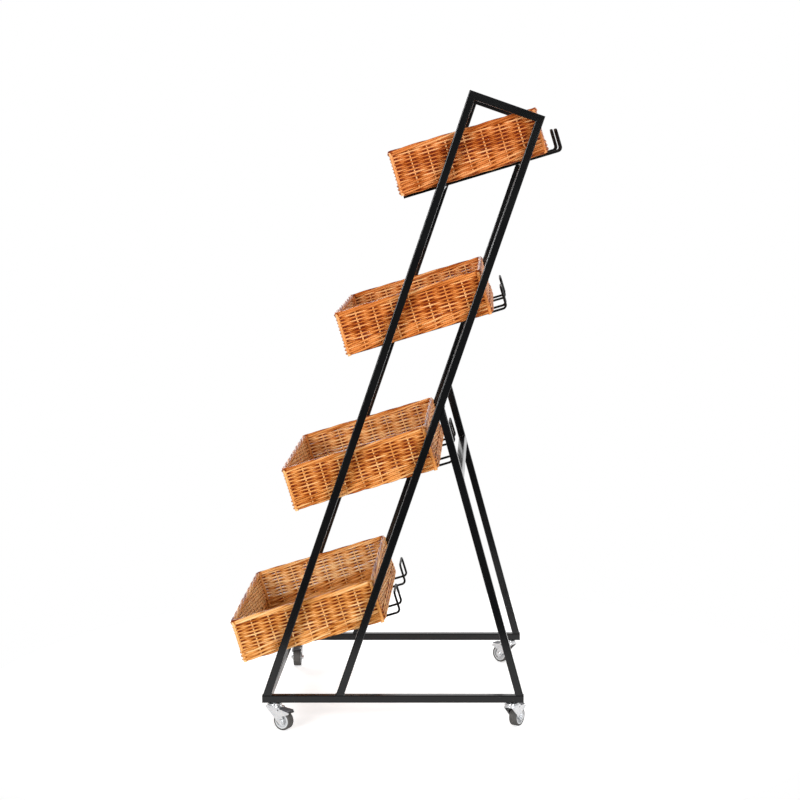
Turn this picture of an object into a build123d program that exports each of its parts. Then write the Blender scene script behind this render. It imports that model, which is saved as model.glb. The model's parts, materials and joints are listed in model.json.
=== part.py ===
"""A castor-mounted display stand: two leaning ladder frames of square steel tube, joined across by
round bars, carry tilted wire shelves with a woven willow basket on each.

Millimetres. +Z is up, X runs across the stand, the front faces -Y. The origin is on the floor,
at the middle of the space that the stand takes up.
"""

import os
from math import asin, cos, degrees, radians, sin, tan

from build123d import *

# Square steel tube of the frame
TUBE = 20.0
TUBE_WALL = 1.5
TUBE_CORNER = 2.5

# Side frames: a base tube, a ladder that leans back, and a brace behind it
STAND_WIDTH = 650.0
BASE_FRONT_Y = -345.0
BASE_LENGTH = 680.0
LEAN = 19.2
LADDER_DEPTH = 200.0
LADDER_LENGTH = 1650.0
BRACE_ANGLE = 15.0
BRACE_BAR_UP = 600.0

# Plugs in the ends of the base tubes
PLUG_HEAD = 1.5
PLUG_DEPTH = 12.0
PLUG_CLEARANCE = 0.1

# Shelves: two round bars across the ladders, and two bent wire brackets welded on them
TIERS = 4
FIRST_TIER_UP = 145.0
TOP_TIER_DOWN = 222.0
SHELF_TILT = 16.6
BAR_D = 12.0
WIRE_D = 6.0
BRACKET_WIDTH = 100.0
BRACKET_INSET = 140.0
WIRE_BEND = 10.0
WIRE_FRONT_INSET = 6.0
HOOK_GAP = 30.0
HOOK_RISE = 54.0

# Willow baskets: bands at the foot and the border, and walls that swell over each upright stake
BASKET_SIDE_GAP = 15.0
BASKET_DEPTH = 396.0
BASKET_HEIGHT = 116.0
BASKET_CORNER = 11.0
BASKET_FORWARD = 20.5
BASKET_SEAT_GAP = 0.3
BAND_WIDTH = 13.0
BAND_EDGE = 2.0
WALE_HEIGHT = 22.0
WALE_ROUND = 4.0
BORDER_HEIGHT = 14.0
BORDER_ROUND = 5.0
STAKE_PITCH = 48.0
WEAVE_THICK = 8.0
WEAVE_THIN = 4.4
CORNER_POST_D = 10.0
BASE_LIFT = 1.5
BASE_THICKNESS = 5.0

# Swivel castors with a threaded stem and a foot brake
CASTOR_HEIGHT = 70.0
CASTOR_INSET = 30.0
STEM_D = 10.0
STEM_LENGTH = 14.0
STEM_CLEARANCE = 0.05
STEM_HOLE_CLEARANCE = 0.2
NUT_FLATS = 15.0
NUT_HEIGHT = 8.0
COLLAR_FLATS = 17.0
COLLAR_HEIGHT = 1.0
RACE_D = 34.0
RACE_HEIGHT = 3.5
SWIVEL_GAP = 0.3
HEAD_D = 38.0
HEAD_HEIGHT = 4.7
CROWN_THICKNESS = 2.0
KING_PIN_D = 10.0
RIVET_D = 16.0
RIVET_HEIGHT = 2.7
RUNNING_CLEARANCE = 0.05
FORK_THICKNESS = 2.0
FORK_FRONT = 19.0
FORK_EAR_R = 9.0
FORK_HORN_R = 3.0
FORK_HORN_BACK = 50.0
FORK_HORN_DROP = 10.0
FORK_SHOULDER_R = 7.0
FORK_SHOULDER_BACK = 4.0
FORK_SHOULDER_DROP = 12.5
TRAIL = 28.0
WHEEL_D = 50.0
TYRE_WIDTH = 21.0
TYRE_THICKNESS = 5.0
TYRE_ROUND = 2.5
HUB_WIDTH = 23.0
HUB_WEB = 8.0
HUB_RIM = 3.5
HUB_BOSS_D = 15.0
WHEEL_SIDE_GAP = 0.3
AXLE_D = 6.0
AXLE_HEAD_FLATS = 10.0
AXLE_HEAD_HEIGHT = 4.0
PEDAL_BACK = 19.0
PEDAL_DROP = 4.5
PEDAL_PIN_D = 4.0
PEDAL_EYE_D = 8.0
PEDAL_WIDTH = 20.0
PEDAL_THICKNESS = 3.0
PEDAL_REACH = 32.0
PEDAL_STEP = 8.0
PEDAL_RISE = 2.0
SHOE_GAP = 4.0
SHOE_LENGTH = 9.0

# Swivel angle of each castor about its stem, with 0 trailing straight back
CASTOR_TURNS = {
    "front_right": -29.0,
    "front_left": -90.0,
    "rear_right": 60.0,
    "rear_left": 143.0,
}

# Places that follow from the sizes above
SIDE_X = (STAND_WIDTH - TUBE) / 2
INNER_WIDTH = STAND_WIDTH - 2 * TUBE
BASE_TOP = CASTOR_HEIGHT + TUBE
BASE_REAR_Y = BASE_FRONT_Y + BASE_LENGTH
BASKET_WIDTH = INNER_WIDTH - 2 * BASKET_SIDE_GAP
BRACKET_SPACING = INNER_WIDTH - 2 * BRACKET_INSET
TIER_PITCH = (LADDER_LENGTH - FIRST_TIER_UP - TOP_TIER_DOWN) / (TIERS - 1)
SIDES = {"left": -SIDE_X, "right": SIDE_X}

# Directions in the side plane: up the ladder, square to it, up the brace and square to it
LADDER_UP = Vector(0, sin(radians(LEAN)), cos(radians(LEAN)))
LADDER_BACK = Vector(0, cos(radians(LEAN)), -sin(radians(LEAN)))
BRACE_UP = Vector(0, -sin(radians(BRACE_ANGLE)), cos(radians(BRACE_ANGLE)))
BRACE_BACK = Vector(0, cos(radians(BRACE_ANGLE)), sin(radians(BRACE_ANGLE)))

# Corners of the ladder in the side plane
LADDER_FOOT_FRONT = Vector(0, BASE_FRONT_Y, BASE_TOP)
LADDER_FOOT_REAR = LADDER_FOOT_FRONT + Vector(0, LADDER_DEPTH / cos(radians(LEAN)), 0)
LADDER_FOOT_MIDDLE = (LADDER_FOOT_FRONT + LADDER_FOOT_REAR) * 0.5
LADDER_TOP_FRONT = LADDER_FOOT_FRONT + LADDER_UP * LADDER_LENGTH
LADDER_TOP_REAR = LADDER_TOP_FRONT + LADDER_BACK * LADDER_DEPTH
BRACE_FOOT = Vector(0, BASE_REAR_Y, BASE_TOP) - BRACE_BACK * (TUBE / 2)

parts = {}


def square_tube(length):
    """Square tube along +Z from the origin, centred on its axis."""
    bore = TUBE - 2 * TUBE_WALL
    bore_corner = max(TUBE_CORNER - TUBE_WALL, TUBE_WALL / 4)
    section = RectangleRounded(TUBE, TUBE, TUBE_CORNER) - RectangleRounded(bore, bore, bore_corner)
    return extrude(section, length)


def tube_along(start, direction, length):
    """Square tube from a point along a direction of the side plane."""
    tilt = degrees(asin(-direction.Y))
    if direction.Z < 0:
        tilt = -180.0 - tilt
    return Pos(start) * Rot(tilt, 0, 0) * square_tube(length)


def kept(shape, point, normal):
    """The part of a shape on the side of a plane that the normal points to."""
    return split(shape, bisect_by=Plane(origin=point, z_dir=normal), keep=Keep.TOP)


def at_side(shape, x):
    return Pos(x, 0, 0) * shape


# Side frames

FLOOR_OF_LADDER = (LADDER_FOOT_FRONT, Vector(0, 0, 1))
FRONT_MITRE = (LADDER_TOP_FRONT, LADDER_BACK + LADDER_UP)
REAR_MITRE = (LADDER_TOP_REAR, LADDER_UP - LADDER_BACK)


def front_upright():
    start = LADDER_FOOT_FRONT + LADDER_BACK * (TUBE / 2) - LADDER_UP * TUBE
    blank = tube_along(start, LADDER_UP, LADDER_LENGTH + 2 * TUBE)
    blank = kept(blank, *FLOOR_OF_LADDER)
    return kept(blank, FRONT_MITRE[0], -FRONT_MITRE[1])


def rear_upright():
    start = LADDER_FOOT_REAR - LADDER_BACK * (TUBE / 2) - LADDER_UP * TUBE
    blank = tube_along(start, LADDER_UP, LADDER_LENGTH + 2 * TUBE)
    blank = kept(blank, *FLOOR_OF_LADDER)
    return kept(blank, REAR_MITRE[0], -REAR_MITRE[1])


def top_tube():
    start = LADDER_TOP_FRONT - LADDER_UP * (TUBE / 2)
    blank = tube_along(start, LADDER_BACK, LADDER_DEPTH)
    blank = kept(blank, *FRONT_MITRE)
    return kept(blank, *REAR_MITRE)


def rear_brace():
    spread = BASE_REAR_Y - LADDER_FOOT_REAR.Y
    rise = spread / (tan(radians(LEAN)) + tan(radians(BRACE_ANGLE)))
    length = rise / cos(radians(BRACE_ANGLE)) + 3 * TUBE
    blank = tube_along(BRACE_FOOT - BRACE_UP * TUBE, BRACE_UP, length)
    blank = kept(blank, *FLOOR_OF_LADDER)
    return kept(blank, LADDER_FOOT_REAR, LADDER_BACK)


def castor_places_y():
    return {"front": BASE_FRONT_Y + CASTOR_INSET, "rear": BASE_REAR_Y - CASTOR_INSET}


def base_tube():
    along = Vector(0, 1, 0)
    start = Vector(0, BASE_FRONT_Y, CASTOR_HEIGHT + TUBE / 2)
    tube = tube_along(start, along, BASE_LENGTH)
    for y in castor_places_y().values():
        hole = Cylinder(STEM_D / 2 + STEM_HOLE_CLEARANCE, 2 * TUBE_WALL)
        tube -= Pos(0, y, CASTOR_HEIGHT + TUBE_WALL / 2) * hole
    return tube


for side, x in SIDES.items():
    parts[f"{side}_base_tube"] = at_side(base_tube(), x)
    parts[f"{side}_front_upright"] = at_side(front_upright(), x)
    parts[f"{side}_rear_upright"] = at_side(rear_upright(), x)
    parts[f"{side}_top_tube"] = at_side(top_tube(), x)
    parts[f"{side}_rear_brace"] = at_side(rear_brace(), x)


# Tubes across the stand, low at the front and between the braces

def cross_tube(centre, tilt):
    """Square tube along X between the side frames, turned about its own axis."""
    blank = Rot(0, 90, 0) * square_tube(INNER_WIDTH)
    return Pos(centre) * Rot(tilt, 0, 0) * Pos(-INNER_WIDTH / 2, 0, 0) * blank


front_cross_centre = Vector(0, BASE_FRONT_Y + TUBE / 2, CASTOR_HEIGHT + TUBE / 2)
parts["front_cross_tube"] = cross_tube(front_cross_centre, 0)
parts["brace_cross_tube"] = cross_tube(BRACE_FOOT + BRACE_UP * BRACE_BAR_UP, BRACE_ANGLE)


# Plastic plugs in the open ends of the base tubes

def end_plug():
    """Plug along +Y, with its head's inner face at the origin."""
    shank_side = TUBE - 2 * TUBE_WALL - 2 * PLUG_CLEARANCE
    shank_corner = max(TUBE_CORNER - TUBE_WALL, TUBE_WALL / 4)
    head = extrude(RectangleRounded(TUBE, TUBE, TUBE_CORNER), -PLUG_HEAD)
    shank = extrude(RectangleRounded(shank_side, shank_side, shank_corner), PLUG_DEPTH)
    return Rot(-90, 0, 0) * (head + shank)


plugs = []
for x in SIDES.values():
    height = CASTOR_HEIGHT + TUBE / 2
    plugs.append(Pos(x, BASE_FRONT_Y, height) * end_plug())
    plugs.append(Pos(x, BASE_REAR_Y, height) * Rot(0, 0, 180) * end_plug())
parts["base_end_plugs"] = Compound(children=plugs)


# Shelves, one for each tier, counted from the lowest

BAR_DROP = (BAR_D + WIRE_D) / 2
HOOK_BACK = BASKET_DEPTH / 2 + HOOK_GAP + WIRE_D / 2 - BASKET_FORWARD
WIRE_FRONT = -BASKET_DEPTH / 2 + WIRE_FRONT_INSET - BASKET_FORWARD


def tier_point(tier):
    """Where the wires of a tier cross the middle of the ladders."""
    return LADDER_FOOT_MIDDLE + LADDER_UP * (FIRST_TIER_UP + tier * TIER_PITCH)


def on_shelf(tier, shape):
    """Moves a shape drawn level, with +Y to the rear, onto a tier's wires."""
    return Pos(tier_point(tier)) * Rot(SHELF_TILT, 0, 0) * shape


def cross_bar(tier, offset):
    """Round bar between two uprights, just under the wires; offset is from the ladder's middle."""
    both = radians(SHELF_TILT + LEAN)
    along = (offset - BAR_DROP * sin(both)) / cos(both)
    bar = Rot(0, 90, 0) * Cylinder(BAR_D / 2, INNER_WIDTH)
    return on_shelf(tier, Pos(0, along, -BAR_DROP) * bar)


def wire_bracket(middle_x):
    """One wire bent into two runs under the basket, up at the back and across the top."""
    near_x = middle_x - BRACKET_WIDTH / 2
    far_x = middle_x + BRACKET_WIDTH / 2
    corners = [
        (near_x, WIRE_FRONT, 0),
        (near_x, HOOK_BACK, 0),
        (near_x, HOOK_BACK, HOOK_RISE),
        (far_x, HOOK_BACK, HOOK_RISE),
        (far_x, HOOK_BACK, 0),
        (far_x, WIRE_FRONT, 0),
    ]
    path = FilletPolyline(*corners, radius=WIRE_BEND)
    section = Plane(origin=corners[0], z_dir=(0, 1, 0)) * Circle(WIRE_D / 2)
    return sweep(section, path=path)


def band(height, low_round, high_round):
    """Thick band of rods around the basket, rounded along its lower and upper edges."""
    room_width = BASKET_WIDTH - 2 * BAND_WIDTH
    room_depth = BASKET_DEPTH - 2 * BAND_WIDTH
    room_corner = max(BASKET_CORNER - BAND_WIDTH, BAND_WIDTH / 4)
    outline = RectangleRounded(BASKET_WIDTH, BASKET_DEPTH, BASKET_CORNER)
    ring = extrude(outline - RectangleRounded(room_width, room_depth, room_corner), height)
    ring = fillet(ring.edges().group_by(Axis.Z)[0], low_round)
    return fillet(ring.edges().group_by(Axis.Z)[-1], high_round)


def woven_wall(length, height):
    """Wall of woven rods along X, thicker over each stake than between two stakes."""
    bays = round(length / STAKE_PITCH)
    crests = []
    for step in range(2 * bays + 1):
        thickness = WEAVE_THIN if step % 2 else WEAVE_THICK
        crests.append((length * (step / (2 * bays) - 0.5), thickness / 2))
    outside = Spline(*crests)
    inside = mirror(outside, Plane.XZ)
    ends = [Line(outside @ 0, inside @ 0), Line(outside @ 1, inside @ 1)]
    return extrude(make_face([outside, inside, *ends]), height)


def basket():
    """Open basket on its foot at the origin: floor, foot wale, walls, corner posts and border."""
    middle_x = (BASKET_WIDTH - BAND_WIDTH) / 2
    middle_y = (BASKET_DEPTH - BAND_WIDTH) / 2
    border_bottom = BASKET_HEIGHT - BORDER_HEIGHT
    wall_bottom = WALE_HEIGHT / 2
    wall_height = border_bottom + BORDER_HEIGHT / 2 - wall_bottom
    shell = band(WALE_HEIGHT, WALE_ROUND, BAND_EDGE)
    shell += Pos(0, 0, border_bottom) * band(BORDER_HEIGHT, BAND_EDGE, BORDER_ROUND)
    shell += Pos(0, 0, BASE_LIFT) * extrude(Rectangle(2 * middle_x, 2 * middle_y), BASE_THICKNESS)
    for end in (-1, 1):
        long_wall = woven_wall(2 * middle_x, wall_height)
        short_wall = Rot(0, 0, 90) * woven_wall(2 * middle_y, wall_height)
        shell += Pos(0, end * middle_y, wall_bottom) * long_wall
        shell += Pos(end * middle_x, 0, wall_bottom) * short_wall
        for side in (-1, 1):
            post = extrude(Circle(CORNER_POST_D / 2), wall_bottom + wall_height)
            shell += Pos(side * middle_x, end * middle_y, 0) * post
    return shell


for tier in range(TIERS):
    name = f"tier_{tier + 1}"
    upright_offset = (LADDER_DEPTH - TUBE) / 2
    parts[f"{name}_front_bar"] = cross_bar(tier, -upright_offset)
    parts[f"{name}_rear_bar"] = cross_bar(tier, upright_offset)
    for side, sign in (("left", -1), ("right", 1)):
        bracket = wire_bracket(sign * BRACKET_SPACING / 2)
        parts[f"{name}_{side}_wire_bracket"] = on_shelf(tier, bracket)
    seat = Pos(0, -BASKET_FORWARD, WIRE_D / 2 + BASKET_SEAT_GAP)
    parts[f"{name}_basket"] = on_shelf(tier, seat * basket())


# Castors, drawn with the stem on the Z axis, the floor at 0 and the wheel trailing to +Y

AXLE_Z = WHEEL_D / 2
COLLAR_BOTTOM = CASTOR_HEIGHT - COLLAR_HEIGHT
RACE_BOTTOM = COLLAR_BOTTOM - RACE_HEIGHT
HEAD_TOP = RACE_BOTTOM - SWIVEL_GAP
CROWN_TOP = HEAD_TOP - HEAD_HEIGHT
CROWN_BOTTOM = CROWN_TOP - CROWN_THICKNESS
FORK_GAP = HUB_WIDTH + 2 * WHEEL_SIDE_GAP
FORK_WIDTH = FORK_GAP + 2 * FORK_THICKNESS
PEDAL_Z = CROWN_BOTTOM - PEDAL_DROP
SIDE_PLANE = Plane(origin=(0, 0, 0), x_dir=(0, 1, 0), z_dir=(1, 0, 0))


def cylinder_up(diameter, bottom, height):
    base = Pos(0, 0, bottom) * Circle(diameter / 2)
    return extrude(base, height)


def hexagon(flats):
    return RegularPolygon(flats / 2, 6, major_radius=False)


def across(sketch, width):
    """A sketch of the castor's side view, as wide as given and centred across it."""
    return extrude(SIDE_PLANE * sketch, width / 2, both=True)


def castor_stem():
    """Threaded stem, hexagon collar, upper ball race and riveted king pin, in one piece."""
    stem = cylinder_up(STEM_D, CASTOR_HEIGHT, STEM_LENGTH)
    collar = extrude(Pos(0, 0, COLLAR_BOTTOM) * hexagon(COLLAR_FLATS), COLLAR_HEIGHT)
    race = cylinder_up(RACE_D, RACE_BOTTOM, RACE_HEIGHT)
    race = fillet(race.edges().group_by(Axis.Z)[-1], RACE_HEIGHT / 2)
    rivet_top = CROWN_BOTTOM - SWIVEL_GAP
    pin = cylinder_up(KING_PIN_D, rivet_top, RACE_BOTTOM - rivet_top)
    rivet = cylinder_up(RIVET_D, rivet_top - RIVET_HEIGHT, RIVET_HEIGHT)
    rivet = fillet(rivet.edges().group_by(Axis.Z)[0], RIVET_HEIGHT / 2)
    return stem + collar + race + pin + rivet


def weld_nut():
    """Nut welded inside the base tube, on the wall that the stem comes through."""
    bottom = CASTOR_HEIGHT + TUBE_WALL
    flats_to_the_walls = Rot(0, 0, 30)
    nut = extrude(Pos(0, 0, bottom) * flats_to_the_walls * hexagon(NUT_FLATS), NUT_HEIGHT)
    return nut - cylinder_up(STEM_D + 2 * STEM_CLEARANCE, bottom, NUT_HEIGHT)


def castor_fork():
    """Pressed fork: a round head and crown with two cheeks down to the axle."""
    crown_length = FORK_FRONT + PEDAL_BACK + PEDAL_EYE_D / 2
    crown_middle = (crown_length - 2 * FORK_FRONT) / 2
    top = Pos(crown_middle, CROWN_TOP - CROWN_THICKNESS / 2) * Rectangle(crown_length, CROWN_THICKNESS)
    eye_back = Pos(PEDAL_BACK, PEDAL_Z) * Circle(PEDAL_EYE_D / 2)
    ear = Pos(TRAIL, AXLE_Z) * Circle(FORK_EAR_R)
    shoulder_z = CROWN_BOTTOM - FORK_SHOULDER_DROP
    shoulder = Pos(TRAIL + FORK_SHOULDER_BACK, shoulder_z) * Circle(FORK_SHOULDER_R)
    horn = Pos(FORK_HORN_BACK, CROWN_BOTTOM - FORK_HORN_DROP) * Circle(FORK_HORN_R)
    cheek = make_hull([*top.edges(), *eye_back.edges(), *ear.edges()])
    cheek += make_hull([*eye_back.edges(), *shoulder.edges(), *horn.edges()])
    fork = across(cheek, FORK_WIDTH) - across(cheek, FORK_GAP)
    fork += across(top, FORK_WIDTH)
    fork += cylinder_up(HEAD_D, CROWN_BOTTOM, CROWN_THICKNESS + HEAD_HEIGHT)
    fork -= cylinder_up(KING_PIN_D + 2 * RUNNING_CLEARANCE, CROWN_BOTTOM, HEAD_TOP - CROWN_BOTTOM)
    fork -= across(Pos(TRAIL, AXLE_Z) * Circle(AXLE_D / 2), FORK_WIDTH)
    pin_hole = Circle(PEDAL_PIN_D / 2 + RUNNING_CLEARANCE)
    return fork - across(Pos(PEDAL_BACK, PEDAL_Z) * pin_hole, FORK_WIDTH)


def castor_axle():
    """Axle bolt across the fork, with its nut on the other cheek."""
    shank_length = FORK_WIDTH / 2 + AXLE_HEAD_HEIGHT
    place = SIDE_PLANE * Pos(TRAIL, AXLE_Z)
    shank = extrude(place * Circle(AXLE_D / 2), shank_length, both=True)
    head = extrude(place * Pos(0, 0, FORK_WIDTH / 2) * hexagon(AXLE_HEAD_FLATS), AXLE_HEAD_HEIGHT)
    nut_sketch = hexagon(AXLE_HEAD_FLATS) - Circle(AXLE_D / 2 + STEM_CLEARANCE)
    nut = extrude(place * Pos(0, 0, -FORK_WIDTH / 2) * nut_sketch, -AXLE_HEAD_HEIGHT)
    return Compound(children=[shank + head, nut])


def castor_wheel():
    """Plastic hub: a rim for the tyre, a thin web and a boss on the axle."""
    rim_outer = WHEEL_D / 2 - TYRE_THICKNESS
    centre = Pos(TRAIL, AXLE_Z)
    wheel = across(centre * (Circle(rim_outer) - Circle(rim_outer - HUB_RIM)), TYRE_WIDTH)
    wheel += across(centre * Circle(rim_outer - HUB_RIM / 2), HUB_WEB)
    wheel += across(centre * Circle(HUB_BOSS_D / 2), HUB_WIDTH)
    return wheel - across(centre * Circle(AXLE_D / 2 + RUNNING_CLEARANCE), HUB_WIDTH)


def castor_tyre():
    outer = WHEEL_D / 2
    ring = Pos(TRAIL, AXLE_Z) * (Circle(outer) - Circle(outer - TYRE_THICKNESS))
    tyre = across(ring, TYRE_WIDTH)
    tread_edges = [e for e in tyre.edges().filter_by(GeomType.CIRCLE) if e.radius > outer - TYRE_ROUND]
    return fillet(tread_edges, TYRE_ROUND)


def castor_pedal():
    """Foot lever with a tread plate, a brake shoe under it and its own pivot stubs."""
    half = PEDAL_THICKNESS / 2
    eye = Pos(PEDAL_BACK, PEDAL_Z) * Circle(PEDAL_EYE_D / 2)
    knee = Pos(PEDAL_BACK + PEDAL_STEP, PEDAL_Z + PEDAL_RISE) * Circle(half)
    toe = Pos(PEDAL_BACK + PEDAL_REACH, PEDAL_Z) * Circle(half)
    lever = make_hull([*eye.edges(), *knee.edges()]) + make_hull([*knee.edges(), *toe.edges()])
    shoe_bottom = WHEEL_D + SHOE_GAP
    shoe_height = PEDAL_Z + PEDAL_RISE / 2 - shoe_bottom
    shoe_place = Pos(TRAIL + SHOE_LENGTH / 2, shoe_bottom + shoe_height / 2)
    lever += shoe_place * Rectangle(SHOE_LENGTH, shoe_height)
    pedal = across(lever, PEDAL_WIDTH)
    stub = Circle(PEDAL_PIN_D / 2)
    return pedal + across(Pos(PEDAL_BACK, PEDAL_Z) * stub, FORK_WIDTH)


weld_nuts = []
for corner, turn in CASTOR_TURNS.items():
    end, side = corner.split("_")
    stem_axis = Pos(SIDES[side], castor_places_y()[end], 0)
    weld_nuts.append(stem_axis * weld_nut())
    place = stem_axis * Rot(0, 0, turn)
    parts[f"{corner}_castor_stem"] = place * castor_stem()
    parts[f"{corner}_castor_fork"] = place * castor_fork()
    parts[f"{corner}_castor_axle"] = place * castor_axle()
    parts[f"{corner}_castor_wheel"] = place * castor_wheel()
    parts[f"{corner}_castor_tyre"] = place * castor_tyre()
    parts[f"{corner}_castor_pedal"] = place * castor_pedal()
parts["castor_weld_nuts"] = Compound(children=weld_nuts)


os.makedirs("parts", exist_ok=True)
for node, shape in parts.items():
    export_step(shape, f"parts/{node}.step")

whole = Compound(children=list(parts.values())).bounding_box()
print(len(parts), "nodes, from", whole.min, "to", whole.max)
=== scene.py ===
import json
import math

import bpy
from mathutils import Matrix, Vector


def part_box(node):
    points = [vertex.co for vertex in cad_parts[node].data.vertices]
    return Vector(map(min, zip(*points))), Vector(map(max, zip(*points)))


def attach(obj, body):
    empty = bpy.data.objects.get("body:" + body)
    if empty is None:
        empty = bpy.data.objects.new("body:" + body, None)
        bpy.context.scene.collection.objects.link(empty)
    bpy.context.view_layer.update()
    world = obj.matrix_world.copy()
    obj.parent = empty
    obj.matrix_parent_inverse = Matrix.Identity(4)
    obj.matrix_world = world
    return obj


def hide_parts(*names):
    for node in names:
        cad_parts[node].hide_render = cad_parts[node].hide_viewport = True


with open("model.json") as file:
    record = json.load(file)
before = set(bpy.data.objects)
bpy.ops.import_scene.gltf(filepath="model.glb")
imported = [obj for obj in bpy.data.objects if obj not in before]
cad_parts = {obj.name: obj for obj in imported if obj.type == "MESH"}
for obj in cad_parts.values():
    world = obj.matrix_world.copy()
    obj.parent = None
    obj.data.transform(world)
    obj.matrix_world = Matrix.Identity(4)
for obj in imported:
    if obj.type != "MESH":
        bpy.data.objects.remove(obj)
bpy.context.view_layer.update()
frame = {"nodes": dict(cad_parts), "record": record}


# Side frames and cross tubes: 20 mm square steel tube, cut, mitred and welded, then sprayed
# and baked as one piece in satin black powder coat, which dries with a faint orange peel.

def put(tree, kind, sockets=None, **options):
    """Adds a node, sets its options, and gives its sockets a value or a link."""
    made = tree.nodes.new(kind)
    for name, value in options.items():
        setattr(made, name, value)
    for key, value in (sockets or {}).items():
        if isinstance(value, bpy.types.NodeSocket):
            tree.links.new(value, made.inputs[key])
        else:
            made.inputs[key].default_value = value
    return made


def calc(tree, operation, *terms):
    """The result of a Math node on values or links."""
    return put(tree, "ShaderNodeMath", dict(enumerate(terms)), operation=operation).outputs[0]


def effect_group(name, inputs, outputs):
    """An empty shader group with the named float inputs, at their defaults, and float outputs."""
    tree = bpy.data.node_groups.new(name, "ShaderNodeTree")
    for label, default in inputs.items():
        socket = tree.interface.new_socket(label, in_out="INPUT", socket_type="NodeSocketFloat")
        socket.default_value = default
    for label in outputs:
        tree.interface.new_socket(label, in_out="OUTPUT", socket_type="NodeSocketFloat")
    return tree, tree.nodes.new("NodeGroupInput").outputs, tree.nodes.new("NodeGroupOutput").inputs


def ramp(tree, value, *stops):
    """A colour ramp from (place, colour) stops."""
    made = put(tree, "ShaderNodeValToRGB", {0: value})
    points = made.color_ramp.elements
    while len(points) < len(stops):
        points.new(1.0)
    for point, (place, colour) in zip(points, stops):
        point.position = place
        point.color = (*colour, 1.0)
    return made.outputs["Color"]


def finish_of(name):
    """A new material with its tree and its main shader."""
    material = bpy.data.materials.new(name)
    material.use_nodes = True
    tree = material.node_tree
    return material, tree, tree.nodes["Principled BSDF"]


def surface(tree, shader, tint, rough, height, strength, depth):
    """Feeds the main shader a colour, a roughness and a bump of the given depth."""
    bump = put(tree, "ShaderNodeBump", {"Height": height, "Strength": strength, "Distance": depth})
    tree.links.new(tint, shader.inputs["Base Color"])
    tree.links.new(rough, shader.inputs["Roughness"])
    tree.links.new(bump.outputs["Normal"], shader.inputs["Normal"])


def dress(material, *nodes):
    """Gives CAD nodes a finish in place of the one they were packed with."""
    for node in nodes:
        slots = frame["nodes"][node].data.materials
        slots.clear()
        slots.append(material)


def orange_peel():
    """Powder coat skin: a fine rolling texture, and a slow drift in how matt it dried."""
    tree, given, out = effect_group("orange_peel", {"Grain": 900.0, "Drift": 6.0}, ("Height", "Matt"))
    place = put(tree, "ShaderNodeTexCoord").outputs["Object"]
    peel = put(tree, "ShaderNodeTexNoise", {"Vector": place, "Scale": given["Grain"], "Detail": 2.0})
    drift = put(tree, "ShaderNodeTexNoise", {"Vector": place, "Scale": given["Drift"], "Detail": 4.0})
    tree.links.new(peel.outputs["Fac"], out["Height"])
    tree.links.new(drift.outputs["Fac"], out["Matt"])
    return tree


powder_skin = orange_peel()


def powder_coat(name, black, worn, grain, rough, shine):
    """Black powder coat with its own grain, and its own roughness where it dried glossiest."""
    glossy_at, matt_at, matt_gain = 0.3, 0.75, 0.12
    material, tree, shader = finish_of(name)
    skin = put(tree, "ShaderNodeGroup", {"Grain": grain}, node_tree=powder_skin).outputs
    tint = ramp(tree, skin["Matt"], (glossy_at, black), (matt_at, worn))
    dulled = calc(tree, "MULTIPLY_ADD", skin["Matt"], matt_gain, rough)
    surface(tree, shader, tint, dulled, skin["Height"], strength=0.04, depth=0.0001)
    shader.inputs["Specular IOR Level"].default_value = shine
    return material


frame_paint = powder_coat(
    "frame_paint", black=(0.0030, 0.0032, 0.0036), worn=(0.0050, 0.0052, 0.0056),
    grain=1100.0, rough=0.11, shine=0.5)
dress(frame_paint, "front_cross_tube", "brace_cross_tube")
for side in ("left", "right"):
    for tube in ("base_tube", "front_upright", "rear_upright", "top_tube", "rear_brace"):
        dress(frame_paint, f"{side}_{tube}")


# Shelf bars and wire brackets: 12 mm round bar between the uprights, and 6 mm steel wire bent into
# pairs of rails with a hook behind the basket, spot welded to the bars and coated with the frame.

TIERS = (1, 2, 3, 4)
wire_paint = powder_coat(
    "wire_paint", black=(0.0030, 0.0028, 0.0030), worn=(0.0050, 0.0047, 0.0050),
    grain=1500.0, rough=0.40, shine=0.15)
for tier in TIERS:
    dress(frame_paint, f"tier_{tier}_front_bar", f"tier_{tier}_rear_bar")
    dress(wire_paint, f"tier_{tier}_left_wire_bracket", f"tier_{tier}_right_wire_bracket")


# Welds: the tubes and bars are joined by short runs of bead, and each wire is spot welded where
# it crosses a bar. The ripples stay visible under the powder coat.

def growing_tree(name, inputs):
    """A Geometry Nodes tree that takes a path, named sizes and, where the default is "", a material."""
    kinds = {int: "NodeSocketInt", float: "NodeSocketFloat",
             tuple: "NodeSocketVector", str: "NodeSocketMaterial"}
    tree = bpy.data.node_groups.new(name, "GeometryNodeTree")
    tree.interface.new_socket("Path", in_out="INPUT", socket_type="NodeSocketGeometry")
    tree.interface.new_socket("Piece", in_out="OUTPUT", socket_type="NodeSocketGeometry")
    for label, default in inputs.items():
        socket = tree.interface.new_socket(label, in_out="INPUT", socket_type=kinds[type(default)])
        if not isinstance(default, str):
            socket.default_value = default
    return tree, tree.nodes.new("NodeGroupInput").outputs, tree.nodes.new("NodeGroupOutput").inputs


def chance_of(tree, seed, sockets):
    """A random float between the limits that the sockets give, or else from 0 to 1."""
    float_value = 1
    made = put(tree, "FunctionNodeRandomValue", {"Seed": seed, **sockets}, data_type="FLOAT")
    return made.outputs[float_value]


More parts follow.
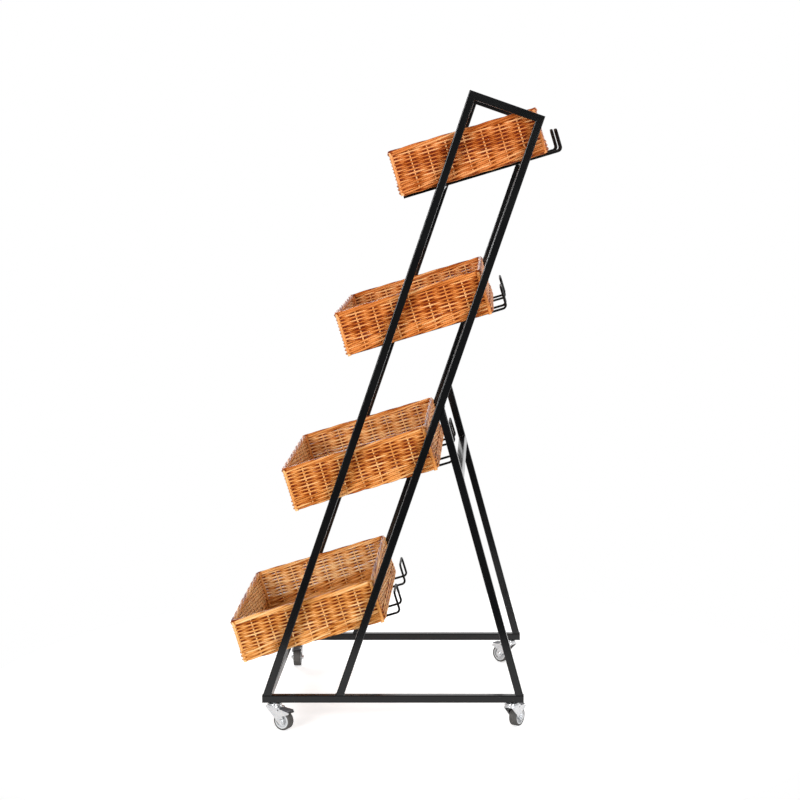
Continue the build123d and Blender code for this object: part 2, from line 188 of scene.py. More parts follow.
def weld_ripples():
    """Overlapping drops along every weld line, each a little larger or smaller than the last."""
    float_min, float_max = 2, 3
    tree, given, out = growing_tree("weld_ripples", {
        "Spacing": 0.0016, "Bead": 0.0019, "Unevenness": 0.15, "Seed": 4, "Paint": ""})
    lines = put(tree, "GeometryNodeMeshToCurve", {"Mesh": given["Path"]}).outputs["Curve"]
    spots = put(tree, "GeometryNodeResampleCurve", {
        "Curve": lines, "Length": given["Spacing"]}, mode="LENGTH")
    drop = put(tree, "GeometryNodeMeshIcoSphere", {"Radius": given["Bead"], "Subdivisions": 2})
    least = calc(tree, "SUBTRACT", 1.0, given["Unevenness"])
    most = calc(tree, "ADD", 1.0, given["Unevenness"])
    size = chance_of(tree, given["Seed"], {float_min: least, float_max: most})
    laid = put(tree, "GeometryNodeInstanceOnPoints", {
        "Points": spots.outputs["Curve"], "Instance": drop.outputs["Mesh"], "Scale": size})
    mesh = put(tree, "GeometryNodeRealizeInstances", {"Geometry": laid.outputs["Instances"]})
    mesh = put(tree, "GeometryNodeSetShadeSmooth", {"Geometry": mesh.outputs["Geometry"]})
    mesh = put(tree, "GeometryNodeSetMaterial", {
        "Geometry": mesh.outputs["Geometry"], "Material": given["Paint"]})
    tree.links.new(mesh.outputs["Geometry"], out["Piece"])
    return tree


def grown(name, tree, path, place, sizes):
    """Runs a tree on a path and keeps the result as a plain mesh at its place on the stand."""
    piece = bpy.data.objects.new(name, path)
    bpy.context.scene.collection.objects.link(piece)
    modifier = piece.modifiers.new("grown", "NODES")
    modifier.node_group = tree
    for socket in tree.interface.items_tree:
        if socket.in_out == "INPUT" and socket.name in sizes:
            modifier[socket.identifier] = sizes[socket.name]
    depsgraph = bpy.context.evaluated_depsgraph_get()
    mesh = bpy.data.meshes.new_from_object(
        piece.evaluated_get(depsgraph), preserve_all_data_layers=True, depsgraph=depsgraph)
    piece.modifiers.remove(modifier)
    piece.data = mesh
    mesh.name = name
    mesh.transform(place)
    return piece


TUBE = 0.020
LEAN, BRACE = math.radians(19.2), math.radians(15.0)
BEAD_HALF = 0.0085
BAR_BEAD_POINTS = 12
WIRE_HALF = 0.003
SPOT_HALF, SPOT_RISE = 0.0035, 0.007
floor_mount = next(m for m in frame["record"]["mounts"] if m["name"] == "top_basket_floor")
shelf_up = Vector(floor_mount["axis"])
weld_points, weld_edges = [], []


def weld_line(points, closed=False):
    """Adds one weld line to the list of them."""
    first = len(weld_points)
    weld_points.extend(points)
    weld_edges.extend((first + i, first + i + 1) for i in range(len(points) - 1))
    if closed:
        weld_edges.append((first + len(points) - 1, first))


for side in ("left", "right"):
    base_low, base_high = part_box(f"{side}_base_tube")
    middle, deck = (base_low.x + base_high.x) / 2, base_high.z
    inner = base_low.x if side == "right" else base_high.x
    # The feet of the uprights and the brace, then the brace's head on the rear upright.
    front_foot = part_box(f"{side}_front_upright")[0].y + TUBE / math.cos(LEAN)
    rear_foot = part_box(f"{side}_rear_upright")[0].y
    rear_heel = rear_foot + TUBE / math.cos(LEAN)
    brace_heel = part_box(f"{side}_rear_brace")[1].y
    brace_foot = brace_heel - TUBE / math.cos(BRACE)
    joints = [(front_foot, deck), (rear_foot, deck), (rear_heel, deck), (brace_foot, deck)]
    for foot in (brace_foot, brace_heel):
        rise = (foot - rear_heel) / (math.tan(LEAN) + math.tan(BRACE))
        joints.append((rear_heel + rise * math.tan(LEAN), deck + rise))
    for y, z in joints:
        weld_line([(middle - BEAD_HALF, y, z), (middle + BEAD_HALF, y, z)])
    # The end of each cross tube.
    cross_rear, cross_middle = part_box("front_cross_tube")[1].y, base_low.z + TUBE / 2
    weld_line([(inner, cross_rear, cross_middle - BEAD_HALF),
               (inner, cross_rear, cross_middle + BEAD_HALF)])
    cross_low, cross_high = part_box("brace_cross_tube")
    centre = (cross_low + cross_high) / 2
    reach_y, reach_z = BEAD_HALF * math.cos(BRACE), BEAD_HALF * math.sin(BRACE)
    for edge in (-TUBE / 2, TUBE / 2):
        y, z = centre.y - edge * math.sin(BRACE), centre.z + edge * math.cos(BRACE)
        weld_line([(inner, y - reach_y, z - reach_z), (inner, y + reach_y, z + reach_z)])
    # A bead round the end of each bar, and a spot where each wire lies on it.
    for tier in TIERS:
        wires_low, wires_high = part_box(f"tier_{tier}_{side}_wire_bracket")
        for bar in ("front", "rear"):
            bar_low, bar_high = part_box(f"tier_{tier}_{bar}_bar")
            centre, radius = (bar_low + bar_high) / 2, (bar_high.y - bar_low.y) / 2
            turns = [2 * math.pi * i / BAR_BEAD_POINTS for i in range(BAR_BEAD_POINTS)]
            weld_line([(inner, centre.y + radius * math.cos(turn), centre.z + radius * math.sin(turn))
                       for turn in turns], closed=True)
            spot = centre + SPOT_RISE * shelf_up
            for wire in (wires_low.x + WIRE_HALF, wires_high.x - WIRE_HALF):
                weld_line([(wire - SPOT_HALF, spot.y, spot.z), (wire + SPOT_HALF, spot.y, spot.z)])
weld_path = bpy.data.meshes.new("weld_lines")
weld_path.from_pydata(weld_points, weld_edges, [])
frame_welds = grown("frame_welds", weld_ripples(), weld_path, Matrix(), {"Paint": frame_paint})
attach(frame_welds, "frame")


# Base tube plugs: black polyethylene caps, pushed into the open ends of the base tubes after the
# coating. The moulded skin is matt and slightly scuffed.

def moulded_skin():
    """Spark-eroded mould texture with faint scuffs, for the plastic and rubber pieces."""
    scuff_from, scuff_gain = 0.52, 4.0
    tree, given, out = effect_group("moulded_skin", {"Grain": 1400.0, "Scuff": 45.0}, ("Height", "Scuffs"))
    place = put(tree, "ShaderNodeTexCoord").outputs["Object"]
    grain = put(tree, "ShaderNodeTexNoise", {"Vector": place, "Scale": given["Grain"], "Detail": 3.0})
    scuff = put(tree, "ShaderNodeTexNoise", {
        "Vector": place, "Scale": given["Scuff"], "Detail": 6.0, "Roughness": 0.7})
    lifted = calc(tree, "SUBTRACT", scuff.outputs["Fac"], scuff_from)
    tree.links.new(grain.outputs["Fac"], out["Height"])
    tree.links.new(calc(tree, "MULTIPLY", lifted, scuff_gain), out["Scuffs"])
    return tree


mould_skin = moulded_skin()


def moulded(name, colour, scuffed, rough, scuff_scale, depth):
    """A moulded plastic or rubber with its own scuffs and depth of grain."""
    grain_gain = 0.18
    material, tree, shader = finish_of(name)
    skin = put(tree, "ShaderNodeGroup", {"Scuff": scuff_scale}, node_tree=mould_skin).outputs
    tint = ramp(tree, skin["Scuffs"], (0.0, colour), (1.0, scuffed))
    dulled = calc(tree, "MULTIPLY_ADD", skin["Height"], grain_gain, rough)
    surface(tree, shader, tint, dulled, skin["Height"], strength=0.2, depth=depth)
    return material


plug_plastic = moulded(
    "plug_plastic", colour=(0.010, 0.010, 0.011), scuffed=(0.022, 0.022, 0.023),
    rough=0.42, scuff_scale=60.0, depth=0.0003)
dress(plug_plastic, "base_end_plugs")


# Castors: pressed steel forks and ball races in bright zinc plate on a threaded stem, with a
# grey hub, a rubber tyre and a moulded foot lever for the brake.

def bright_zinc(name, hazy, bright):
    """Bright zinc plate on pressed steel, with a fine spangle and a hazy polish."""
    hazy_at, bright_at, spangle_gain = 0.35, 0.8, 0.35
    polish, haze_gain = 0.16, 0.22
    material, tree, shader = finish_of(name)
    place = put(tree, "ShaderNodeTexCoord").outputs["Object"]
    spangle = put(tree, "ShaderNodeTexVoronoi", {"Vector": place, "Scale": 420.0}).outputs["Distance"]
    haze = put(tree, "ShaderNodeTexNoise", {"Vector": place, "Scale": 70.0, "Detail": 6.0}).outputs["Fac"]
    mixed = calc(tree, "MULTIPLY_ADD", spangle, spangle_gain, haze)
    tint = ramp(tree, mixed, (hazy_at, hazy), (bright_at, bright))
    dulled = calc(tree, "MULTIPLY_ADD", haze, haze_gain, polish)
    surface(tree, shader, tint, dulled, haze, strength=0.08, depth=0.0005)
    shader.inputs["Metallic"].default_value = 1.0
    return material


zinc_steel = bright_zinc("zinc_steel", hazy=(0.70, 0.72, 0.75), bright=(0.90, 0.91, 0.92))
hub_plastic = moulded(
    "hub_plastic", colour=(0.56, 0.57, 0.58), scuffed=(0.66, 0.66, 0.66),
    rough=0.3, scuff_scale=90.0, depth=0.0002)
tyre_rubber = moulded(
    "tyre_rubber", colour=(0.060, 0.056, 0.052), scuffed=(0.115, 0.106, 0.098),
    rough=0.55, scuff_scale=130.0, depth=0.0004)
pedal_plastic = moulded(
    "pedal_plastic", colour=(0.085, 0.084, 0.094), scuffed=(0.15, 0.15, 0.16),
    rough=0.35, scuff_scale=80.0, depth=0.0003)
dress(zinc_steel, "castor_weld_nuts")
for corner in ("front_right", "front_left", "rear_right", "rear_left"):
    dress(zinc_steel, f"{corner}_castor_stem", f"{corner}_castor_fork", f"{corner}_castor_axle")
    dress(hub_plastic, f"{corner}_castor_wheel")
    dress(tyre_rubber, f"{corner}_castor_tyre")
    dress(pedal_plastic, f"{corner}_castor_pedal")


# Willow baskets: boiled and peeled rods. Upright stakes stand round a woven base, weavers pass
# before and behind them in turn, and twisted rods close the foot and the rim.

# Each rod starts anywhere along these metres of grain, so no two show the same stretch.
ROD_STAGGER = 7.0


def willow_bark():
    """Peeled willow: each rod has its own tone and fine streaks along it, and is darkened by painted shade in
    the weave.
    """
    streaks, tones_apart = 9.0, 40.0
    tone_gain, grain_gain, shade_gain = 0.35, 0.2, -0.95
    tree, given, out = effect_group(
        "willow_bark", {"Along": 0.0, "Tone": 0.5, "Shade": 0.0}, ("Streak", "Tint", "Height"))
    place = put(tree, "ShaderNodeTexCoord").outputs["Object"]
    lengthways = put(tree, "ShaderNodeCombineXYZ", {
        0: calc(tree, "MULTIPLY", given["Along"], streaks),
        1: calc(tree, "MULTIPLY", given["Tone"], tones_apart)})
    slow = put(tree, "ShaderNodeTexNoise", {"Vector": lengthways.outputs[0], "Scale": 1.0, "Detail": 3.0})
    slow = slow.outputs["Fac"]
    grain = put(tree, "ShaderNodeTexNoise", {"Vector": place, "Scale": 380.0, "Detail": 3.0}).outputs["Fac"]
    tint = calc(tree, "MULTIPLY_ADD", calc(tree, "SUBTRACT", given["Tone"], 0.5), tone_gain, slow)
    tint = calc(tree, "MULTIPLY_ADD", calc(tree, "SUBTRACT", grain, 0.5), grain_gain, tint)
    # Painted shade: the stored shade darkens the tint where rods turn into the weave and in their creases.
    tint = calc(tree, "MULTIPLY_ADD", given["Shade"], shade_gain, tint)
    tree.links.new(tint, out["Tint"])
    tree.links.new(slow, out["Streak"])
    tree.links.new(grain, out["Height"])
    return tree


bark = willow_bark()


def willow(name, deep, brown, honey, pale):
    """Boiled willow from its deepest to its palest tone, read along each rod; painted shade draws it towards
    the deepest.
    """
    sheen, streak_gain = 0.30, 0.2
    material, tree, shader = finish_of(name)
    given = {}
    for label in ("Along", "Tone", "Shade"):
        given[label] = put(tree, "ShaderNodeAttribute", attribute_name=label.lower()).outputs["Fac"]
    rod = put(tree, "ShaderNodeGroup", given, node_tree=bark).outputs
    tint = ramp(tree, rod["Tint"], (0.0, deep), (0.25, brown), (0.5, honey), (0.85, pale))
    dulled = calc(tree, "MULTIPLY_ADD", rod["Streak"], streak_gain, sheen)
    surface(tree, shader, tint, dulled, rod["Height"], strength=0.25, depth=0.0006)
    shader.inputs["Specular IOR Level"].default_value = 0.12
    return material


def vectors(tree, operation, *terms):
    """The vector result of a Vector Math node."""
    return put(tree, "ShaderNodeVectorMath", dict(enumerate(terms)), operation=operation).outputs[0]


def scaled(tree, vector, length):
    """A vector made longer or shorter by a value or a link."""
    return put(tree, "ShaderNodeVectorMath", {0: vector, "Scale": length}, operation="SCALE").outputs[0]


def kept_value(tree, geometry, name, value):
    """Stores a value at each point under a name that the finish or a later node reads."""
    stored = put(tree, "GeometryNodeStoreNamedAttribute", {
        "Geometry": geometry, "Name": name, "Value": value}, data_type="FLOAT", domain="POINT")
    return stored.outputs["Geometry"]


def read_value(tree, name, kind="FLOAT"):
    """Reads back what is stored at each point under a name."""
    read = put(tree, "GeometryNodeInputNamedAttribute", {"Name": name}, data_type=kind)
    return read.outputs["Attribute"]


def step_out(tree, wave, reach):
    """The step out of the wall, or into it, that a wave takes at each point of the path."""
    return scaled(tree, read_value(tree, "outward", "FLOAT_VECTOR"), calc(tree, "MULTIPLY", wave, reach))


def rods_from(tree, given, out, curve, sides):
    """Sweeps the curves into round rods, paints shade on the sides that face into the weave and into the
    creases, paints light on the inner faces, and ends the tree.
    """
    radius = calc(tree, "MULTIPLY", given["Rod"], 0.5)
    profile = put(tree, "GeometryNodeCurvePrimitiveCircle", {"Resolution": sides, "Radius": radius})
    swept = put(tree, "GeometryNodeCurveToMesh", {
        "Curve": curve, "Profile Curve": profile.outputs["Curve"],
        "Scale": read_value(tree, "girth"), "Fill Caps": True})
    normal = put(tree, "GeometryNodeInputNormal").outputs["Normal"]
    facing = put(tree, "ShaderNodeVectorMath", {
        0: normal, 1: read_value(tree, "outward", "FLOAT_VECTOR")}, operation="DOT_PRODUCT")
    facing = facing.outputs["Value"]
    # Painted shade on the sides of each rod that face into the weave, where the neighbouring rods would shade
    # them.
    hidden_shade = calc(tree, "MULTIPLY", calc(tree, "MULTIPLY", facing, read_value(tree, "swing")), -1.0)
    sideways = calc(tree, "SUBTRACT", 1.0, calc(tree, "ABSOLUTE", facing))
    # Painted shade in the creases between rods, on the sides turned neither out nor in.
    crease_shade = calc(tree, "MULTIPLY", calc(tree, "POWER", sideways, 2.0), given["Crease shade"])
    shade = calc(tree, "ADD", calc(tree, "MAXIMUM", hidden_shade, 0.0), crease_shade)
    # Painted light: the faces turned inwards are lightened, so the inner walls look better lit.
    shade = calc(tree, "MULTIPLY_ADD", calc(tree, "MINIMUM", facing, 0.0), given["Inside"], shade)
    mesh = kept_value(tree, swept.outputs["Mesh"], "shade", shade)
    mesh = put(tree, "GeometryNodeSetShadeSmooth", {"Geometry": mesh}).outputs["Geometry"]
    mesh = put(tree, "GeometryNodeRealizeInstances", {"Geometry": mesh}).outputs["Geometry"]
    mesh = put(tree, "GeometryNodeSetMaterial", {"Geometry": mesh, "Material": given["Willow"]})
    tree.links.new(mesh.outputs["Geometry"], out["Piece"])


def copies_of_path(tree, given, amount):
    """The path as curves, copied, with each copy's number and its run from 0 to 1 along the path."""
    butt, thinning = 1.12, -0.24
    curve = put(tree, "GeometryNodeMeshToCurve", {"Mesh": given["Path"]}).outputs["Curve"]
    copied = put(tree, "GeometryNodeDuplicateElements", {
        "Geometry": curve, "Amount": amount}, domain="SPLINE")
    number = copied.outputs["Duplicate Index"]
    run = put(tree, "GeometryNodeSplineParameter").outputs
    chance = chance_of(tree, given["Seed"], {"ID": number})
    length = calc(tree, "MULTIPLY_ADD", chance, ROD_STAGGER, run["Length"])
    thinned = calc(tree, "FRACT", calc(tree, "MULTIPLY", length, given["Taper"]))
    curve = kept_value(tree, copied.outputs["Geometry"], "tone", chance)
    curve = kept_value(tree, curve, "along", length)
    curve = kept_value(tree, curve, "girth", calc(tree, "MULTIPLY_ADD", thinned, thinning, butt))
    return curve, number, run["Factor"]


def wander(tree, given, number):
    """A slow uneven drift along each rod, from -0.5 to 0.5."""
    bends, rods_apart = 9.0, 0.9
    place = put(tree, "GeometryNodeInputPosition").outputs["Position"]
    layer = calc(tree, "MULTIPLY_ADD", number, rods_apart, given["Seed"])
    apart = put(tree, "ShaderNodeCombineXYZ", {2: layer}).outputs[0]
    spot = vectors(tree, "ADD", scaled(tree, place, bends), apart)
    noise = put(tree, "ShaderNodeTexNoise", {"Vector": spot, "Scale": 1.0, "Detail": 1.0})
    return calc(tree, "SUBTRACT", noise.outputs["Fac"], 0.5)


def woven_rods():
    """Rows of weavers that swing before and behind the stakes, each row opposite to the last."""
    tree, given, out = growing_tree("woven_rods", {
        "Rows": 18, "Row pitch": 0.0046, "Tightening": 0.0, "First row": 0.02, "Stack": (0.0, 0.0, 1.0),
        "Rod": 0.0044, "Swing": 0.0036, "Stakes": 40.0, "Wander": 0.002, "Taper": 0.7, "Crease shade": 0.5,
        "Inside": 0.0, "Seed": 1, "Willow": ""})
    curve, number, run = copies_of_path(tree, given, given["Rows"])
    beat = calc(tree, "MULTIPLY", calc(tree, "MULTIPLY_ADD", run, given["Stakes"], number), math.pi)
    swung = calc(tree, "COSINE", beat)
    near_stake = calc(tree, "MULTIPLY_ADD", calc(tree, "MULTIPLY", swung, swung), 0.5, 0.5)
    wave = calc(tree, "MULTIPLY", swung, near_stake)
    curve = kept_value(tree, curve, "swing", wave)
    drift = calc(tree, "MULTIPLY", wander(tree, given, number), given["Wander"])
    pitch = calc(tree, "SUBTRACT", given["Row pitch"], calc(tree, "MULTIPLY", number, given["Tightening"]))
    row = calc(tree, "ADD", calc(tree, "MULTIPLY_ADD", number, pitch, given["First row"]), drift)
    offset = vectors(tree, "ADD", step_out(tree, wave, given["Swing"]), scaled(tree, given["Stack"], row))
    curve = put(tree, "GeometryNodeSetPosition", {"Geometry": curve, "Offset": offset}).outputs["Geometry"]
    rods_from(tree, given, out, curve, sides=8)
    return tree


def twisted_rods():
    """Rods laid round each other along the path, as in a wale or a rolled rim."""
    tree, given, out = growing_tree("twisted_rods", {
        "Strands": 3, "Turns": 13, "Height": 0.01, "Out": 0.004, "Up": 0.003, "Rod": 0.005,
        "Wander": 0.002, "Taper": 0.6, "Crease shade": 0.4, "Inside": 0.0, "Seed": 1, "Willow": ""})
    curve, number, run = copies_of_path(tree, given, given["Strands"])
    share = calc(tree, "DIVIDE", number, given["Strands"])
    turn = calc(tree, "MULTIPLY", calc(tree, "MULTIPLY_ADD", run, given["Turns"], share), 2 * math.pi)
    wave = calc(tree, "COSINE", turn)
    curve = kept_value(tree, curve, "swing", wave)
    drift = calc(tree, "MULTIPLY", wander(tree, given, number), given["Wander"])
    rise = calc(tree, "MULTIPLY_ADD", calc(tree, "SINE", turn), given["Up"], given["Height"])
    lift = put(tree, "ShaderNodeCombineXYZ", {2: calc(tree, "ADD", rise, drift)}).outputs[0]
    offset = vectors(tree, "ADD", step_out(tree, wave, given["Out"]), lift)
    curve = put(tree, "GeometryNodeSetPosition", {"Geometry": curve, "Offset": offset}).outputs["Geometry"]
    rods_from(tree, given, out, curve, sides=7)
    return tree


def standing_rods():
    """Upright stakes on the path's points, each a little bowed and as pale as the palest weavers."""
    bends, tone_least, tone_spread = 14.0, 0.9, 0.4
    tree, given, out = growing_tree("standing_rods", {
        "Foot": 0.004, "Top": 0.104, "Rod": 0.0046, "Bow": 0.002, "Crease shade": 0.2,
        "Inside": 0.0, "Seed": 1, "Willow": ""})
    low = put(tree, "ShaderNodeCombineXYZ", {2: given["Foot"]}).outputs[0]
    high = put(tree, "ShaderNodeCombineXYZ", {2: given["Top"]}).outputs[0]
    line = put(tree, "GeometryNodeCurvePrimitiveLine", {"Start": low, "End": high}).outputs["Curve"]
    line = put(tree, "GeometryNodeResampleCurve", {"Curve": line, "Count": 9}).outputs["Curve"]
    stood = put(tree, "GeometryNodeInstanceOnPoints", {"Points": given["Path"], "Instance": line})
    curve = put(tree, "GeometryNodeRealizeInstances", {"Geometry": stood.outputs["Instances"]})
    curve = curve.outputs["Geometry"]
    place = put(tree, "GeometryNodeInputPosition").outputs["Position"]
    flat = vectors(tree, "MULTIPLY", place, (1.0, 1.0, 0.0))
    chance = put(tree, "ShaderNodeTexWhiteNoise", {"Vector": flat}, noise_dimensions="3D").outputs["Value"]
    height = put(tree, "ShaderNodeSeparateXYZ", {0: place}).outputs["Z"]
    curve = kept_value(tree, curve, "tone", calc(tree, "MULTIPLY_ADD", chance, tone_spread, tone_least))
    curve = kept_value(tree, curve, "along", calc(tree, "MULTIPLY_ADD", chance, ROD_STAGGER, height))
    curve = kept_value(tree, curve, "girth", 1.0)
    curve = kept_value(tree, curve, "swing", 0.0)
    apart = put(tree, "ShaderNodeCombineXYZ", {0: given["Seed"]}).outputs[0]
    spot = vectors(tree, "ADD", scaled(tree, place, bends), apart)
    noise = put(tree, "ShaderNodeTexNoise", {"Vector": spot, "Scale": 1.0, "Detail": 1.0}).outputs["Color"]
    bow = scaled(tree, vectors(tree, "SUBTRACT", noise, (0.5, 0.5, 0.5)), given["Bow"])
    curve = put(tree, "GeometryNodeSetPosition", {"Geometry": curve, "Offset": bow}).outputs["Geometry"]
    rods_from(tree, given, out, curve, sides=8)
    return tree


weave_tree, twist_tree, stake_tree = woven_rods(), twisted_rods(), standing_rods()


def path_mesh(name, points, outward, closed=False):
    """A line of points as a mesh, with the direction that counts as outward at each point."""
    mesh = bpy.data.meshes.new(name)
    edges = [(i, i + 1) for i in range(len(points) - 1)]
    if closed:
        edges.append((len(points) - 1, 0))
    mesh.from_pydata(points, edges, [])
    facing = mesh.attributes.new("outward", "FLOAT_VECTOR", "POINT")
    facing.data.foreach_set("vector", [value for vector in outward for value in vector])
    return mesh


# The share of their swing that the weavers keep as they turn a corner.
CORNER_SWING = 0.25


def ring(half_x, half_y, corner, count):
    """Evenly spaced points round a rectangle with rounded corners, from the middle of one corner."""
    arc = corner * math.pi / 2
    runs = [2 * (half - corner) for half in (half_y, half_x, half_y, half_x)]
    total = 4 * arc + sum(runs)
    points, outward = [], []
    for i in range(count):
        far = (total * i / count + arc / 2) % total
        x, y, heading = half_x - corner, -half_y, 0.0
        for quarter, length in enumerate(runs):
            step = min(far, arc)
            begun = quarter * math.pi / 2
            heading = begun + step / corner
            x += corner * (math.sin(heading) - math.sin(begun))
            y += corner * (math.cos(begun) - math.cos(heading))
            far -= step
            straight = min(far, length)
            x += straight * math.cos(heading)
            y += straight * math.sin(heading)
            far -= straight
            if far <= 0:
                break
        points.append((x, y, 0.0))
        swing = CORNER_SWING if 0.0 < step < arc else 1.0
        outward.append((swing * math.sin(heading), -swing * math.cos(heading), 0.0))
    return points, outward


WALL_HALF_X, WALL_HALF_Y, WALL_CORNER = 0.2835, 0.1915, 0.0075
STAKES_ROUND, POINTS_PER_STAKE = 40, 8
CORNER_STAKES = (0, 8, 20, 28)
POST_INSET = 0.002
RIM_CORNER, RIM_POINTS = 0.0090, 400
BASE_HALF_X, BASE_HALF_Y, BASE_HEIGHT = 0.280, 0.188, 0.004
BASE_STEPS, STICK_STEPS = 48, 24
BASE_ROWS, BASE_PITCH = 123, 0.0046
STICK_ROWS, STICK_PITCH = 9, 0.0465
FLOOR_TOP = 0.0065
UP = (0.0, 0.0, 1.0)
# The top basket's walls stand a little higher on their base than those of the others.
WALL_LIFT = {1: 0.0, 2: 0.0, 3: 0.0, 4: 0.0045}

wall_points, wall_outward = ring(WALL_HALF_X, WALL_HALF_Y, WALL_CORNER, STAKES_ROUND * POINTS_PER_STAKE)
rim_points, rim_outward = ring(WALL_HALF_X, WALL_HALF_Y, RIM_CORNER, RIM_POINTS)
stakes = [POINTS_PER_STAKE * i for i in range(STAKES_ROUND) if i not in CORNER_STAKES]
posts = [POINTS_PER_STAKE * i for i in CORNER_STAKES]
post_feet = [tuple(Vector(wall_points[i]) - POST_INSET * Vector(wall_outward[i])) for i in posts]
base_run = [(0.0, -BASE_HALF_Y + 2 * BASE_HALF_Y * i / BASE_STEPS, BASE_HEIGHT)
            for i in range(BASE_STEPS + 1)]
stick_run = [(-BASE_HALF_X + 2 * BASE_HALF_X * i / STICK_STEPS, 0.0, BASE_HEIGHT)
             for i in range(STICK_STEPS + 1)]
wall_path = path_mesh("wall_path", wall_points, wall_outward, closed=True)
rim_path = path_mesh("rim_path", rim_points, rim_outward, closed=True)
stake_path = path_mesh("stake_path", [wall_points[i] for i in stakes], [wall_outward[i] for i in stakes])
post_path = path_mesh("post_path", post_feet, [UP] * len(post_feet))
base_path = path_mesh("base_path", base_run, [UP] * len(base_run))
stick_path = path_mesh("stick_path", stick_run, [UP] * len(stick_run))

# The weave's inner faces are lightened with painted light.
WEAVE = {"Rows": 17, "Row pitch": 0.0046, "Tightening": 0.00001, "First row": 0.0325, "Rod": 0.0048,
         "Swing": 0.0026, "Stakes": float(STAKES_ROUND), "Wander": 0.0012, "Inside": 0.32}
LOWER_WALE = {"Strands": 3, "Turns": 13, "Height": 0.0062, "Out": 0.0038, "Up": 0.0034, "Rod": 0.0060}
MIDDLE_WALE = {**LOWER_WALE, "Height": 0.0160, "Up": 0.0032}
UPPER_WALE = {**MIDDLE_WALE, "Height": 0.0255, "Rod": 0.0058}
# The rim's creases get a deeper painted shade than the other rods.
RIM = {"Strands": 4, "Turns": 7, "Height": 0.1086, "Out": 0.0034, "Up": 0.0038, "Rod": 0.0066,
       "Wander": 0.0015, "Crease shade": 0.6}
STAKES = {"Foot": 0.004, "Top": 0.108, "Rod": 0.0048, "Bow": 0.0025}
CORNER_POSTS = {"Foot": -0.002, "Top": 0.110, "Rod": 0.0098, "Bow": 0.0015}
BASE_WEAVE = {"Rows": BASE_ROWS, "Row pitch": BASE_PITCH, "First row": -BASE_PITCH * (BASE_ROWS - 1) / 2,
              "Stack": (1.0, 0.0, 0.0), "Rod": 0.0050, "Swing": 0.0013, "Stakes": 8.0, "Wander": 0.001}
BASE_STICKS = {"Rows": STICK_ROWS, "Row pitch": STICK_PITCH, "First row": -STICK_PITCH * (STICK_ROWS - 1) / 2,
               "Stack": (0.0, 1.0, 0.0), "Rod": 0.0048, "Swing": 0.0, "Stakes": 1.0, "Wander": 0.0}
# Willow tones per tier, deepest to palest; the deepest shows mostly where shade is painted into the weave.
WILLOW_TONES = {
    1: ((0.19, 0.024, 0.001), (0.42, 0.120, 0.012), (0.71, 0.305, 0.078), (0.95, 0.63, 0.30)),
    2: ((0.19, 0.022, 0.001), (0.42, 0.104, 0.010), (0.71, 0.272, 0.064), (0.95, 0.58, 0.25)),
    3: ((0.19, 0.020, 0.001), (0.42, 0.092, 0.008), (0.71, 0.240, 0.054), (0.95, 0.54, 0.23)),
    4: ((0.18, 0.018, 0.001), (0.40, 0.084, 0.008), (0.67, 0.216, 0.052), (0.93, 0.50, 0.22)),
}

SEEDS_PER_BASKET = 10
shelf_tilt = math.atan2(-shelf_up.y, shelf_up.z)
for tier in TIERS:
    node, body = f"tier_{tier}_basket", f"basket_{tier}"
    from_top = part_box(node)[0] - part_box("tier_4_basket")[0]
    seat = Vector(floor_mount["pos_m"]) + from_top - shelf_up * FLOOR_TOP
    floor_place = Matrix.Translation(seat) @ Matrix.Rotation(shelf_tilt, 4, "X")
    wall_place = floor_place @ Matrix.Translation((0.0, 0.0, WALL_LIFT[tier]))
    rods = willow(f"willow_{tier}", *WILLOW_TONES[tier])
    pieces = []
    for part, tree, path, place, sizes, seed in (
            ("weave", weave_tree, wall_path, wall_place, WEAVE, 0),
            ("lower_wale", twist_tree, wall_path, wall_place, LOWER_WALE, 1),
            ("middle_wale", twist_tree, wall_path, wall_place, MIDDLE_WALE, 8),
            ("upper_wale", twist_tree, wall_path, wall_place, UPPER_WALE, 2),
            ("rim", twist_tree, rim_path, wall_place, RIM, 3),
            ("stakes", stake_tree, stake_path, wall_place, STAKES, 4),
            ("corner_posts", stake_tree, post_path, wall_place, CORNER_POSTS, 5),
            ("base_weave", weave_tree, base_path, floor_place, BASE_WEAVE, 6),
            ("base_sticks", weave_tree, stick_path, floor_place, BASE_STICKS, 7)):
        made_of = {**sizes, "Seed": SEEDS_PER_BASKET * tier + seed, "Willow": rods}
        pieces.append(grown(f"{node}_{part}", tree, path, place, made_of))
    for piece in pieces:
        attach(piece, body)
    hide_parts(node)


# Studio: a round white floor and a white surround behind the stand, with the room dark on the
# camera's side, four large soft lamps, and the camera level with the top basket.

FLOOR_RADIUS, FLOOR_SIDES = 1.2, 64
FLOOR_GLOW, FLOOR_MIRRORED_GLOW = 0.5, 0.1


def white_floor():
    """A round white floor that keeps the stand's shadow, and is not part of the stand."""
    mesh = bpy.data.meshes.new("studio_floor")
    turns = [2 * math.pi * i / FLOOR_SIDES for i in range(FLOOR_SIDES)]
    edge = [(FLOOR_RADIUS * math.cos(turn), FLOOR_RADIUS * math.sin(turn), 0.0) for turn in turns]
    mesh.from_pydata(edge, [], [tuple(range(FLOOR_SIDES))])
    floor = bpy.data.objects.new("studio_floor", mesh)
    bpy.context.scene.collection.objects.link(floor)
    material, tree, shader = finish_of("studio_white")
    shader.inputs["Base Color"].default_value = (0.86, 0.86, 0.86, 1.0)
    shader.inputs["Roughness"].default_value = 0.9
    shader.inputs["Specular IOR Level"].default_value = 0.0
    shader.inputs["Emission Color"].default_value = (1.0, 1.0, 1.0, 1.0)
    rays = put(tree, "ShaderNodeLightPath").outputs
    seen = calc(tree, "MAXIMUM", rays["Is Camera Ray"], rays["Is Transmission Ray"])
    glow = calc(tree, "MULTIPLY", seen, FLOOR_GLOW)
    glow = calc(tree, "MULTIPLY_ADD", rays["Is Glossy Ray"], FLOOR_MIRRORED_GLOW, glow)
    tree.links.new(glow, shader.inputs["Emission Strength"])
    mesh.materials.append(material)


white_floor()

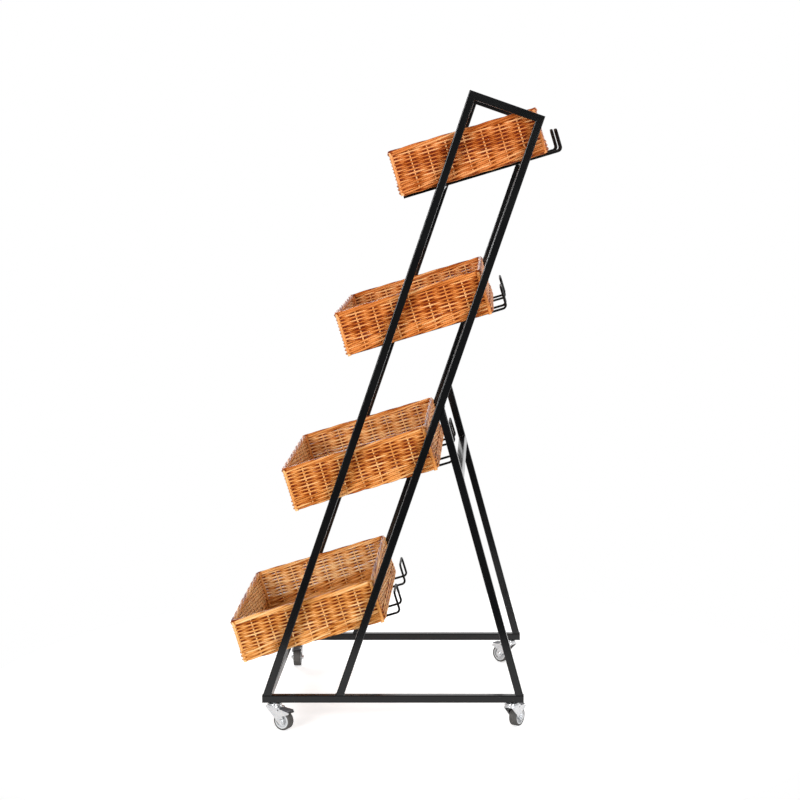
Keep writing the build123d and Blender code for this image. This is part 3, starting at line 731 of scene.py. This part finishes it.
WHITE, AMBIENT, DARK_ROOM = 1.0, 0.36, 0.02
world = bpy.data.worlds.new("studio_surround")
bpy.context.scene.world = world
world.use_nodes = True
sky = world.node_tree
rays = put(sky, "ShaderNodeLightPath").outputs
seen = calc(sky, "MAXIMUM", rays["Is Camera Ray"], rays["Is Transmission Ray"])
direction = put(sky, "ShaderNodeTexCoord").outputs["Generated"]
to_camera = put(sky, "ShaderNodeSeparateXYZ", {0: direction}).outputs["X"]
room = put(sky, "ShaderNodeMapRange", {
    "Value": to_camera, "From Min": -0.3, "From Max": 0.4,
    "To Min": WHITE - AMBIENT, "To Max": DARK_ROOM - AMBIENT})
level = calc(sky, "MULTIPLY_ADD", seen, WHITE - AMBIENT, AMBIENT)
level = calc(sky, "MULTIPLY_ADD", rays["Is Glossy Ray"], room.outputs["Result"], level)
sky.nodes["Background"].inputs["Color"].default_value = (1.0, 1.0, 1.0, 1.0)
sky.links.new(level, sky.nodes["Background"].inputs["Strength"])


def soft_lamp(name, place, aim, size, power):
    """A round soft lamp that points at a spot on the stand."""
    lamp = bpy.data.lights.new(name, "AREA")
    lamp.shape = "DISK"
    lamp.size = size
    lamp.energy = power
    held = bpy.data.objects.new(name, lamp)
    bpy.context.scene.collection.objects.link(held)
    held.location = place
    held.rotation_mode = "QUATERNION"
    held.rotation_quaternion = (Vector(aim) - Vector(place)).to_track_quat("-Z", "Y")


soft_lamp("key_lamp", place=(7.5, -4.4, 2.7), aim=(0.0, 0.0, 0.8), size=3.6, power=470.0)
soft_lamp("side_lamp", place=(7.5, 3.6, 2.7), aim=(0.0, 0.0, 0.8), size=3.6, power=400.0)
soft_lamp("fill_lamp", place=(-2.4, 3.0, 2.6), aim=(0.0, 0.0, 0.9), size=2.4, power=55.0)
soft_lamp("back_lamp", place=(-3.8, -1.8, 2.4), aim=(0.0, 0.0, 0.9), size=2.4, power=100.0)

DEGREES_DOWN = 8.401
camera = bpy.data.cameras.new("side_view")
camera.sensor_width = 36.0
camera.lens = 85.91
camera.shift_x = -0.1113
camera.shift_y = 0.0256
camera.clip_end = 200.0
viewer = bpy.data.objects.new("side_view", camera)
bpy.context.scene.collection.objects.link(viewer)
viewer.location = (5.147, 0.2458, 1.5277)
viewer.rotation_euler = (math.radians(90.0 - DEGREES_DOWN), 0.0, math.radians(90.0))
bpy.context.scene.camera = viewer
bpy.context.scene.view_settings.view_transform = "Standard"
